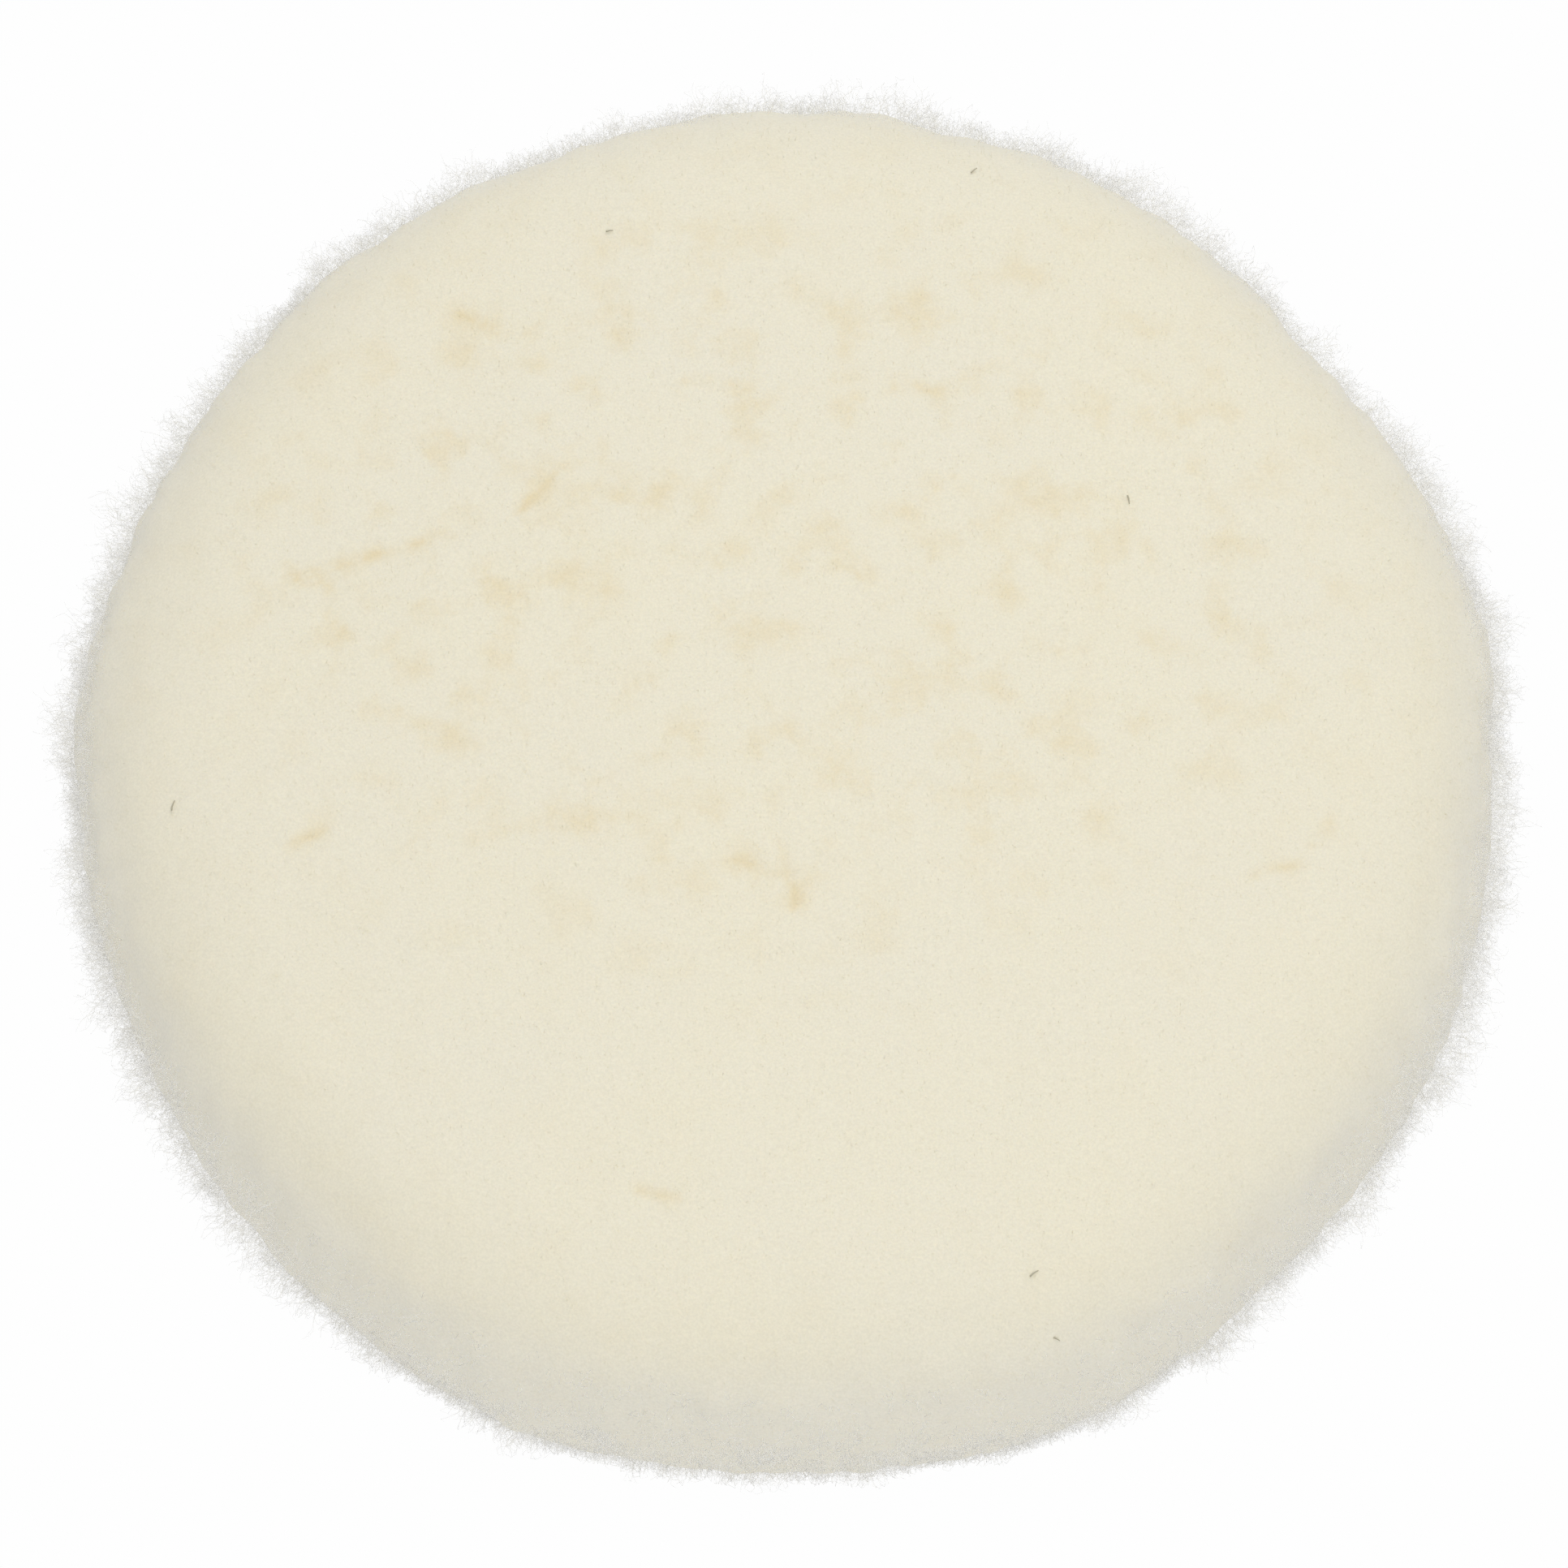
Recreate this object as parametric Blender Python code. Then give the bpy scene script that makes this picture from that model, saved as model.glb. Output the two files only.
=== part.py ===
"""Lambswool polishing pad with a hook-and-loop back, for a 150 mm backing plate.

Run with: blender --background --python part.py

The pad lies wool side up. The origin is the centre of the loop face, +Z points out of the wool.
From the bottom: loop nap, loop ground cloth, bond film, foam cushion, bond film, tanned skin, wool.
The skin is a cap over the foam. Its brim and the ground cloth's rim are bound with a folded tape,
and a lockstitch seam of two threads goes round the binding.
"""

import math

import bmesh
import bpy

MM = 0.001
GAP = 0.3 * MM
SEGMENTS = 64

# Loop fastener: the nap of loops is the face that a hook plate grips.
NAP_RADIUS = 74.5 * MM
NAP_HEIGHT = 1.6 * MM
CLOTH_RADIUS = 80.0 * MM
CLOTH_THICKNESS = 0.6 * MM

# Foam cushion between the ground cloth and the skin, with a glue film on each side.
FILM_THICKNESS = 0.3 * MM
FOAM_RADIUS = 72.4 * MM
FOAM_THICKNESS = 5.5 * MM
FOAM_EDGE_RADIUS = 3.8 * MM

# Tanned skin, a shallow cap with a brim as wide as the ground cloth.
SKIN_THICKNESS = 1.4 * MM
SKIN_SHOULDER_RADIUS = 6.0 * MM
SKIN_WALL_RADIUS = 74.6 * MM
SKIN_BRIM_FILLET = 1.0 * MM

# Binding tape folded over the brim, and the seam that goes through it.
TAPE_THICKNESS = 0.5 * MM
TAPE_INNER_RADIUS = 76.3 * MM
SEAM_RADIUS = 78.2 * MM
THREAD_RADIUS = 0.22 * MM
STITCHES = 64

# Sheared wool: its outline is a superellipse turned about the pad's axis.
WOOL_RADIUS = 90.0 * MM
WOOL_LENGTH = 20.0 * MM
WOOL_CROWN = 0.6 * MM
WOOL_EDGE_WIDTH = 28.0 * MM
WOOL_WIDEST_Z = 10.5 * MM
WOOL_LOWEST_Z = 1.0 * MM
WOOL_SQUARENESS = 2.5
SKIRT_INNER_RADIUS = 81.4 * MM
SKIRT_FOOT_RADIUS = 84.5 * MM

# Heights of the layers, from the loop face up.
CLOTH_Z = NAP_HEIGHT + GAP
LOWER_FILM_Z = CLOTH_Z + CLOTH_THICKNESS + GAP
FOAM_Z = LOWER_FILM_Z + FILM_THICKNESS + GAP
UPPER_FILM_Z = FOAM_Z + FOAM_THICKNESS + GAP
SKIN_Z = UPPER_FILM_Z + FILM_THICKNESS + GAP
SKIN_TOP_Z = SKIN_Z + SKIN_THICKNESS
BRIM_Z = CLOTH_Z + CLOTH_THICKNESS + GAP
BRIM_TOP_Z = BRIM_Z + SKIN_THICKNESS
TAPE_BOTTOM_Z = CLOTH_Z - GAP - TAPE_THICKNESS
TAPE_TOP_Z = BRIM_TOP_Z + GAP + TAPE_THICKNESS
WOOL_Z = SKIN_TOP_Z + GAP
WOOL_TOP_Z = WOOL_Z + WOOL_LENGTH
SHOULDER_R = SKIN_WALL_RADIUS - SKIN_SHOULDER_RADIUS
SHOULDER_Z = SKIN_TOP_Z - SKIN_SHOULDER_RADIUS


def material(name, colour, roughness):
    """A Principled material with a linear RGB colour."""
    made = bpy.data.materials.new(name)
    made.use_nodes = True
    shader = made.node_tree.nodes["Principled BSDF"]
    shader.inputs["Base Color"].default_value = (*colour, 1.0)
    shader.inputs["Roughness"].default_value = roughness
    shader.inputs["Metallic"].default_value = 0.0
    return made


def arc(centre, radius, start_deg, end_deg, points):
    """Points of an arc in the (radius, height) half plane, both ends included."""
    steps = [start_deg + (end_deg - start_deg) * i / (points - 1) for i in range(points)]
    return [
        (centre[0] + radius * math.cos(math.radians(a)), centre[1] + radius * math.sin(math.radians(a)))
        for a in steps
    ]


def superellipse(centre, width, height, start_deg, end_deg, points):
    """Points of a superellipse of WOOL_SQUARENESS, squarer than a true ellipse."""
    power = 2.0 / WOOL_SQUARENESS
    found = []
    for i in range(points):
        a = math.radians(start_deg + (end_deg - start_deg) * i / (points - 1))
        across = math.copysign(abs(math.cos(a)) ** power, math.cos(a))
        up = math.copysign(abs(math.sin(a)) ** power, math.sin(a))
        found.append((centre[0] + width * across, centre[1] + height * up))
    return found


def turned(name, outline, finish, closed=False):
    """A body turned about Z from an outline of (radius, height) points, shaded smooth."""
    shape = bmesh.new()
    corners = [shape.verts.new((r, 0.0, z)) for r, z in outline]
    pairs = list(zip(corners, corners[1:]))
    if closed:
        pairs.append((corners[-1], corners[0]))
    edges = [shape.edges.new(pair) for pair in pairs]
    bmesh.ops.spin(
        shape,
        geom=corners + edges,
        cent=(0.0, 0.0, 0.0),
        axis=(0.0, 0.0, 1.0),
        angle=math.tau,
        steps=SEGMENTS,
        use_merge=True,
    )
    bmesh.ops.remove_doubles(shape, verts=shape.verts, dist=0.001 * MM)
    bmesh.ops.recalc_face_normals(shape, faces=shape.faces)
    mesh = bpy.data.meshes.new(name)
    shape.to_mesh(mesh)
    shape.free()
    mesh.materials.append(finish)
    mesh.shade_smooth()
    mesh.set_sharp_from_angle(angle=math.radians(40))
    made = bpy.data.objects.new(name, mesh)
    bpy.context.collection.objects.link(made)
    return made


def disc(name, radius, bottom, thickness, finish):
    """A flat round layer."""
    top = bottom + thickness
    return turned(name, [(0.0, bottom), (radius, bottom), (radius, top), (0.0, top)], finish)


def seam_thread(name, height, dip, finish):
    """One thread of the lockstitch: it bows out over each stitch and dips where the needle went in."""
    curve = bpy.data.curves.new(name, "CURVE")
    curve.dimensions = "3D"
    curve.bevel_depth = THREAD_RADIUS
    curve.bevel_resolution = 1
    spline = curve.splines.new("POLY")
    spline.use_cyclic_u = True
    points = 2 * STITCHES
    spline.points.add(points - 1)
    for i, point in enumerate(spline.points):
        turn = math.tau * i / points
        z = height + (dip if i % 2 else 0.0)
        point.co = (SEAM_RADIUS * math.cos(turn), SEAM_RADIUS * math.sin(turn), z, 1.0)
    curve.materials.append(finish)
    made = bpy.data.objects.new(name, curve)
    bpy.context.collection.objects.link(made)
    return made


def loop_back(nap_finish, cloth_finish):
    disc("loop_nap", NAP_RADIUS, 0.0, NAP_HEIGHT, nap_finish)
    disc("loop_ground_cloth", CLOTH_RADIUS, CLOTH_Z, CLOTH_THICKNESS, cloth_finish)


def cushion(foam_finish, film_finish):
    film_radius = FOAM_RADIUS - FOAM_EDGE_RADIUS
    disc("loop_bond_film", film_radius, LOWER_FILM_Z, FILM_THICKNESS, film_finish)
    edge = (FOAM_RADIUS - FOAM_EDGE_RADIUS, FOAM_Z + FOAM_THICKNESS - FOAM_EDGE_RADIUS)
    outline = [
        (0.0, FOAM_Z),
        (FOAM_RADIUS, FOAM_Z),
        *arc(edge, FOAM_EDGE_RADIUS, 0, 90, 5),
        (0.0, FOAM_Z + FOAM_THICKNESS),
    ]
    turned("cushion_foam", outline, foam_finish)
    disc("skin_bond_film", film_radius - GAP, UPPER_FILM_Z, FILM_THICKNESS, film_finish)


def sheepskin(finish):
    """The cap: flat top, round shoulder, a small fillet and a flat brim."""
    shoulder = (SHOULDER_R, SHOULDER_Z)
    inner_radius = SKIN_SHOULDER_RADIUS - SKIN_THICKNESS
    fillet = (SKIN_WALL_RADIUS + SKIN_BRIM_FILLET, BRIM_TOP_Z + SKIN_BRIM_FILLET)
    inner_wall = SKIN_WALL_RADIUS - SKIN_THICKNESS
    outline = [
        (0.0, SKIN_TOP_Z),
        *arc(shoulder, SKIN_SHOULDER_RADIUS, 90, 0, 6),
        *arc(fillet, SKIN_BRIM_FILLET, 180, 270, 3),
        (CLOTH_RADIUS, BRIM_TOP_Z),
        (CLOTH_RADIUS, BRIM_Z),
        (inner_wall + SKIN_THICKNESS, BRIM_Z),
        (inner_wall, BRIM_Z + SKIN_THICKNESS),
        *arc(shoulder, inner_radius, 0, 90, 5),
        (0.0, SKIN_Z),
    ]
    turned("sheepskin", outline, finish)


def binding_tape(finish):
    """A tape folded round the brim: lower leg, round outer fold, upper leg."""
    fold_z = (TAPE_BOTTOM_Z + TAPE_TOP_Z) / 2
    outer = CLOTH_RADIUS + GAP + TAPE_THICKNESS
    inner_half = (TAPE_TOP_Z - TAPE_BOTTOM_Z) / 2 - TAPE_THICKNESS
    corner = 0.9 * MM
    outline = [
        (TAPE_INNER_RADIUS, TAPE_BOTTOM_Z),
        *arc((outer - corner, TAPE_BOTTOM_Z + corner), corner, -90, 0, 3),
        *arc((outer - corner, TAPE_TOP_Z - corner), corner, 0, 90, 3),
        (TAPE_INNER_RADIUS, TAPE_TOP_Z),
        (TAPE_INNER_RADIUS, fold_z + inner_half),
        (CLOTH_RADIUS + GAP, fold_z + inner_half),
        (CLOTH_RADIUS + GAP, fold_z - inner_half),
        (TAPE_INNER_RADIUS, fold_z - inner_half),
    ]
    turned("binding_tape", outline, finish, closed=True)


def wool(finish):
    """The pile: it stands on the skin's top and shoulder, and its skirt hangs outside the binding."""
    edge = (WOOL_RADIUS - WOOL_EDGE_WIDTH, WOOL_WIDEST_Z)
    step_z = TAPE_TOP_Z + 2 * GAP + 3 * THREAD_RADIUS
    inner = SKIN_SHOULDER_RADIUS + GAP
    step_deg = math.degrees(math.asin((step_z - SHOULDER_Z) / inner))
    upper = superellipse(edge, WOOL_EDGE_WIDTH, WOOL_TOP_Z - WOOL_WIDEST_Z, 0, 90, 9)
    lower = superellipse(edge, WOOL_EDGE_WIDTH, WOOL_WIDEST_Z - WOOL_LOWEST_Z, -45, 0, 4)
    outline = [
        (0.0, WOOL_Z),
        *arc((SHOULDER_R, SHOULDER_Z), inner, 90, step_deg, 5),
        (SKIRT_INNER_RADIUS, step_z),
        (SKIRT_INNER_RADIUS, WOOL_LOWEST_Z + GAP),
        (SKIRT_FOOT_RADIUS, WOOL_LOWEST_Z),
        *lower[:-1],
        *upper,
        (0.0, WOOL_TOP_Z + WOOL_CROWN),
    ]
    turned("wool_pile", outline, finish)


def main():
    for old in list(bpy.data.objects):
        bpy.data.objects.remove(old)
    wool_finish = material("sheared lambswool", (0.84, 0.79, 0.64), 0.95)
    skin_finish = material("tanned sheepskin", (0.74, 0.62, 0.44), 0.85)
    foam_finish = material("polyurethane foam", (0.62, 0.60, 0.52), 0.9)
    film_finish = material("hot-melt film", (0.80, 0.78, 0.70), 0.45)
    nap_finish = material("nylon loop nap", (0.70, 0.70, 0.68), 0.9)
    cloth_finish = material("knitted ground cloth", (0.66, 0.66, 0.64), 0.85)
    tape_finish = material("cotton twill tape", (0.72, 0.69, 0.60), 0.9)
    thread_finish = material("bonded nylon thread", (0.86, 0.84, 0.78), 0.5)
    loop_back(nap_finish, cloth_finish)
    cushion(foam_finish, film_finish)
    sheepskin(skin_finish)
    binding_tape(tape_finish)
    lift = GAP + THREAD_RADIUS
    bow = 0.15 * MM
    seam_thread("needle_thread", TAPE_TOP_Z + lift, bow, thread_finish)
    seam_thread("bobbin_thread", TAPE_BOTTOM_Z - lift, -bow, thread_finish)
    wool(wool_finish)


main()
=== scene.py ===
"""Looks of a lambswool polishing pad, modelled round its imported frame. Lengths are in metres.

The pad lies wool side up on a white table. Every new piece takes its size and place from the
frame's boxes: the fleece and its fibres, the knitted loop cloth and its loops, the folded tape
and the stitches that hold it. The inner layers keep their own shapes and get their materials here.
"""

import math

import bpy
import numpy as np
from bpy.props import FloatProperty, FloatVectorProperty, IntProperty, PointerProperty
from bpy.types import Operator, Panel, PropertyGroup
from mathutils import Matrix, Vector, noise
from mathutils.kdtree import KDTree


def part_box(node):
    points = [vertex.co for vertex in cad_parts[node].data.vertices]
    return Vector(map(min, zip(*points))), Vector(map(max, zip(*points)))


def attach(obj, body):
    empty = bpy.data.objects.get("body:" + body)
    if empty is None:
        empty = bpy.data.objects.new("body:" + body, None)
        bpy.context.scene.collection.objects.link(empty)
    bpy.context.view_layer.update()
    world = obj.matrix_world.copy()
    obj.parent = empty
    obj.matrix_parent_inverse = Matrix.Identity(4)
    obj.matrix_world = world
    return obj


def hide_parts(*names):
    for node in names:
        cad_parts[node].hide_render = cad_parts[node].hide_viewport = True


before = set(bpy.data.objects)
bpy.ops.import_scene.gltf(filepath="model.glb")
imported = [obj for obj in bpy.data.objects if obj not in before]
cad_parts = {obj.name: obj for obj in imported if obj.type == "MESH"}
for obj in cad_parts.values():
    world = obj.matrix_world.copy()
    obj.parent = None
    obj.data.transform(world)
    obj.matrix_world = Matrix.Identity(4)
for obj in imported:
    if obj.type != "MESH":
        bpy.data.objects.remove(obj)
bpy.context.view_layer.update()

bl_info = {
    "name": "Lambswool polishing pad",
    "version": (1, 0, 0),
    "blender": (4, 5, 0),
    "location": "View3D > Sidebar > Pad",
    "description": "Builds the fleece, the loop back, the bound rim and the stage of a polishing pad",
    "category": "Add Mesh",
}

MM = 0.001
WOOL_LOW, WOOL_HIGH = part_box("wool_pile")
SKIN_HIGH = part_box("sheepskin")[1]
TAPE_LOW, TAPE_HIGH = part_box("binding_tape")
CLOTH_LOW, CLOTH_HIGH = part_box("loop_ground_cloth")
NAP_LOW, NAP_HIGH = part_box("loop_nap")
NEEDLE_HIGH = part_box("needle_thread")[1]
FLOOR = NAP_LOW.z
TAPE_MIDDLE = (TAPE_LOW.z + TAPE_HIGH.z) / 2

GAP = 0.6 * MM  # clearance round what the dense wool holds, and under its sheared ends
RECESS = TAPE_HIGH.x + GAP  # radius of the recess in the wool that takes the bound rim
WALL = 0.45 * MM  # thickness of the loop cloth, and of the tape
TAPE_FOLD = 4.2 * MM  # how far the folded tape reaches in from the rim, on each side
TOUCH = 0.01 * MM  # heights closer than this are the same
SWELL_FRAMES = 16  # frames of cloth simulation
RIM_STEPS = 5  # bends in a rim fibre
RIM_SOLID = 0.34  # how solid a rim fibre is, because it is drawn far thicker than a real one

# Seeds of the random draws.
LOCK_SEED, RIM_SEED, FACE_SEED, HAIR_SEED, LOOP_SEED = 7, 11, 23, 5, 31

# A strand's own map: across it runs the strand's tone, up it runs root to tip.
STRAND_MAP = "OFBake"

# Partings in the fleece where the creamier under-wool shows: x, y, heading in degrees, length
# and width, all lengths in millimetres.
PARTINGS = (
    (-47.0, 20.0, 18, 14.0, 1.5),
    (-54.0, 13.5, -72, 8.0, 1.6),
    (-58.5, 17.0, -40, 5.0, 1.4),
    (-0.5, -18.5, -78, 14.0, 1.6),
    (-3.6, -20.5, -25, 5.0, 2.0),
    (-8.8, 42.0, -8, 6.5, 1.5),
    (15.4, 41.4, 4, 7.0, 1.5),
    (7.4, 17.2, -5, 5.5, 1.6),
    (-31.9, -2.1, -40, 6.0, 1.3),
    (-38.0, 51.0, -15, 4.5, 1.4),
    (-32.5, 49.0, 12, 4.5, 1.5),
    (56.6, -20.8, 16, 6.0, 1.4),
    (62.2, -16.2, 60, 4.0, 1.5),
    (-56.0, -17.0, 30, 4.0, 1.5),
    (-14.8, -60.5, -10, 4.5, 1.3),
    (-30.0, 27.0, 50, 6.0, 1.2),
)

# The fleece's outline isn't round: waves in a turn, and their size as shares of the radius, first of
# the waves that start on the right, then of those a quarter wave on.
OUTLINE_WAVES = (
    (2, -0.011, -0.002),
    (4, 0.005, -0.001),
    (5, 0.002, 0.003),
    (3, 0.0, 0.001),
    (6, 0.0036, 0.0023),
    (7, -0.0025, 0.0),
    (8, -0.0011, 0.0014),
    (9, -0.0022, 0.004),
)

# Stray dark kemp hairs caught in the fleece: x, y, heading in degrees and length in millimetres.
KEMP_HAIRS = (
    (23.3, 72.5, 40, 1.0),
    (40.8, 26.5, -80, 1.1),
    (-71.9, -12.3, 75, 1.3),
    (28.1, -70.0, 35, 1.2),
    (-21.5, 62.0, 10, 0.9),
    (30.6, -76.5, -30, 0.8),
)


def hex_colour(code):
    """An sRGB hex colour as linear RGBA."""
    parts = [int(code[i : i + 2], 16) / 255 for i in (1, 3, 5)]
    return tuple(c / 12.92 if c <= 0.04045 else ((c + 0.055) / 1.055) ** 2.4 for c in parts) + (1.0,)


def length(name, description, millimetres, **limits):
    """A length property, given in millimetres and kept in metres."""
    return FloatProperty(
        name=name,
        description=description,
        default=millimetres * MM,
        precision=5,
        unit="LENGTH",
        subtype="DISTANCE",
        **limits,
    )


def colour(name, description, code):
    """A colour property, given as a hex code."""
    return FloatVectorProperty(
        name=name,
        description=description,
        default=hex_colour(code),
        size=4,
        subtype="COLOR",
        min=0.0,
        max=1.0,
    )


class FleeceSettings(PropertyGroup):
    fringe: length("Fringe", "How far the loose wool of the rim stands out of the dense wool", 4.8)
    nap: length("Nap", "How far the sheared fibre ends stand out of the working face", 0.6)
    shoulder: length("Shoulder", "Width of the rounded edge of the working face", 22.0)
    lock_width: length("Lock width", "Width of one lock of wool at the rim", 6.2)
    lock_relief: length("Lock relief", "How far a lock of dense wool stands proud of its neighbours", 0.35)
    face_relief: length("Face relief", "Height of the soft unevenness of the working face", 0.3)
    parting_depth: length("Parting depth", "Depth of the partings in the working face", 0.2)
    curl: length("Curl", "Radius of the curls of a loose fibre", 0.9)
    fibre: length("Fibre", "Thickness of a drawn fibre", 0.072)
    rim_fibres: IntProperty(
        name="Rim fibres", description="Number of curly fibres round the rim", default=40000, min=100
    )
    face_fibres: IntProperty(
        name="Face fibres", description="Number of sheared fibre ends on the face", default=14000, min=100
    )
    cream: colour("Cream", "The dense wool of the working face", "#efe9d3")
    butter: colour("Butter", "The yolk-stained wool in blotches and partings", "#eaddbb")
    ivory: colour("Ivory", "The cleaner, paler wool at the rim", "#ece8d9")
    root: colour("Root", "The loose rim fibres where they leave the dense wool", "#f6f4ec")
    tip: colour("Tip", "The ends of the loose rim fibres", "#ffffff")


class BackSettings(PropertyGroup):
    loop_pitch: length("Loop pitch", "Distance between neighbouring loops", 2.0)
    loop_thread: length("Loop thread", "Thickness of a loop's thread", 0.22)
    wale: length("Wale", "Distance between the knitted ribs of the loop cloth", 1.2)
    stitch: length("Stitch", "Length of one stitch of the binding's seam", 3.0)
    thread: length("Thread", "Thickness of the sewing thread", 0.36)
    pucker: length("Pucker", "How deep each stitch pulls the tape in", 0.12)
    tape: colour("Tape", "The cotton binding tape", "#dcd6c4")
    sewing: colour("Sewing thread", "The bonded nylon thread", "#efeadb")
    loops: colour("Loops", "The nylon loops", "#eeeeea")
    cloth: colour("Cloth", "The knitted cloth under the loops", "#bdbdb7")
    suede: colour("Suede", "The flesh side of the tanned skin", "#cdb68c")
    foam: colour("Foam", "The polyurethane foam", "#c9c4ad")
    film: colour("Film", "The hot-melt glue film", "#e2ddcb")


class StageSettings(PropertyGroup):
    elevation: FloatProperty(
        name="Elevation",
        description="Camera's height above the horizon",
        default=math.radians(67),
        subtype="ANGLE",
    )
    focal: FloatProperty(name="Focal length", description="Focal length in millimetres", default=135.0)
    margin: FloatProperty(
        name="Margin",
        description="The picture's width over the fleece's width",
        default=1.038,
        subtype="FACTOR",
    )
    key: FloatProperty(
        name="Key light", description="Power of the soft light over the pad", default=1.65, unit="POWER"
    )
    sky: FloatProperty(name="Sky", description="Strength of the light from above", default=0.7)
    ground: FloatProperty(name="Ground", description="Strength of the light from below", default=1.15)


def add_node(tree, kind, inputs=None, **settings):
    """Adds a node. settings are its properties; inputs are its sockets' values, or what feeds them."""
    made = tree.nodes.new(kind)
    for key, value in settings.items():
        setattr(made, key, value)
    for key, value in (inputs or {}).items():
        if isinstance(value, bpy.types.NodeSocket):
            tree.links.new(value, made.inputs[key])
        else:
            made.inputs[key].default_value = value
    return made


def new_material(name, values):
    """A Principled material. Values that are the same all over are set on the shader's own sockets."""
    made = bpy.data.materials.new(name)
    made.use_nodes = True
    shader = made.node_tree.nodes["Principled BSDF"]
    for socket, value in values.items():
        shader.inputs[socket].default_value = value
    return made, made.node_tree, shader


def two_tones(made, pattern, light, shade, bumps=None, strength=0.0, height=0.0):
    """Mixes a colour with a darker share of itself by a pattern, and raises it by bumps, if there are any. In
    the foam, the knitted cloth, the tape and the thread the pattern is also the bumps, so the darker tone is
    painted shade in the hollows.
    """
    tree = made.node_tree
    shader = tree.nodes["Principled BSDF"]
    dark = tuple(shade * c for c in light[:3]) + (1.0,)
    mixed = add_node(tree, "ShaderNodeMix", {0: pattern, 6: dark, 7: light}, data_type="RGBA").outputs[2]
    tree.links.new(mixed, shader.inputs["Base Color"])
    if bumps is not None:
        raised = add_node(tree, "ShaderNodeBump", {"Height": bumps, "Strength": strength, "Distance": height})
        tree.links.new(raised.outputs[0], shader.inputs["Normal"])
    return made


def sheared_wool(fleece):
    """Dense lambswool sheared level: a matt cream face of fine fibre ends, with a soft bloom.
    Yolk stains show butter yellow in small blotches, and the rim's wool is paler and cooler."""
    made, tree, shader = new_material(
        "Sheared lambswool",
        {
            "Roughness": 0.95,
            "IOR": 1.55,
            "Specular IOR Level": 0.15,
            "Sheen Weight": 0.12,
            "Sheen Roughness": 0.6,
            "Subsurface Weight": 0.15,
            "Subsurface Radius": (1.0, 0.85, 0.6),
            "Subsurface Scale": 2.0 * MM,
        },
    )
    place = add_node(tree, "ShaderNodeTexCoord").outputs["Object"]
    # Stains are about 6 mm wide, the drift of tone 28 mm and curls 1.3 mm. Fibre ends are 0.03 mm
    # across; they are drawn as a 0.3 mm grain, the finest that shows.
    blots, mottle, curls, grain = (
        add_node(
            tree,
            "ShaderNodeTexNoise",
            {"Vector": place, "Scale": 1 / (size * MM), "Detail": detail, "Roughness": rough},
        ).outputs["Fac"]
        for size, detail, rough in ((6, 4.0, 0.55), (28, 3.0, 0.5), (1.3, 3.0, 0.5), (0.3, 2.0, 0.5))
    )
    # The stains lie round a place left of the middle and behind it, and thin out towards the rim.
    off = add_node(
        tree,
        "ShaderNodeMapping",
        {"Vector": place, "Location": (0.0, -0.35, 0.0), "Scale": (14.5, 19.0, 0.0)},
    ).outputs[0]
    away = add_node(tree, "ShaderNodeVectorMath", {0: off}, operation="LENGTH").outputs["Value"]
    stained, region, broken, drift, speckle = (
        add_node(
            tree,
            "ShaderNodeMapRange",
            {"Value": value, "From Min": low, "From Max": high, "To Min": least, "To Max": most},
            interpolation_type=kind,
        ).outputs["Result"]
        for value, low, high, least, most, kind in (
            (blots, 0.45, 0.82, 0.0, 1.0, "SMOOTHSTEP"),
            (away, 0.6, 1.25, 0.85, 0.12, "SMOOTHSTEP"),
            (blots, 0.35, 0.6, 0.0, 0.75, "LINEAR"),
            (mottle, 0.3, 0.7, 0.0, 0.35, "LINEAR"),
            (grain, 0.3, 0.7, 0.95, 1.03, "LINEAR"),
        )
    )
    parted = add_node(tree, "ShaderNodeAttribute", attribute_name="parting").outputs["Fac"]
    at_rim = add_node(tree, "ShaderNodeAttribute", attribute_name="rim").outputs["Fac"]
    patches = add_node(tree, "ShaderNodeMath", {0: stained, 1: region}, operation="MULTIPLY").outputs[0]
    streaks = add_node(tree, "ShaderNodeMath", {0: parted, 1: broken}, operation="MULTIPLY").outputs[0]
    stains = add_node(tree, "ShaderNodeMath", {0: patches, 1: streaks}, operation="ADD", use_clamp=True)
    yolk = stains.outputs[0]
    tint = fleece.cream
    for share, other in ((drift, fleece.ivory), (at_rim, fleece.ivory), (yolk, fleece.butter)):
        tint = add_node(tree, "ShaderNodeMix", {0: share, 6: tint, 7: other}, data_type="RGBA").outputs[2]
    final = add_node(tree, "ShaderNodeVectorMath", {0: tint, "Scale": speckle}, operation="SCALE").outputs[0]
    tree.links.new(final, shader.inputs["Base Color"])
    soft = add_node(tree, "ShaderNodeBump", {"Height": curls, "Strength": 0.35, "Distance": 0.35 * MM})
    fine = add_node(
        tree,
        "ShaderNodeBump",
        {"Height": grain, "Strength": 0.35, "Distance": 0.1 * MM, "Normal": soft.outputs[0]},
    )
    tree.links.new(fine.outputs[0], shader.inputs["Normal"])
    return made


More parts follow.
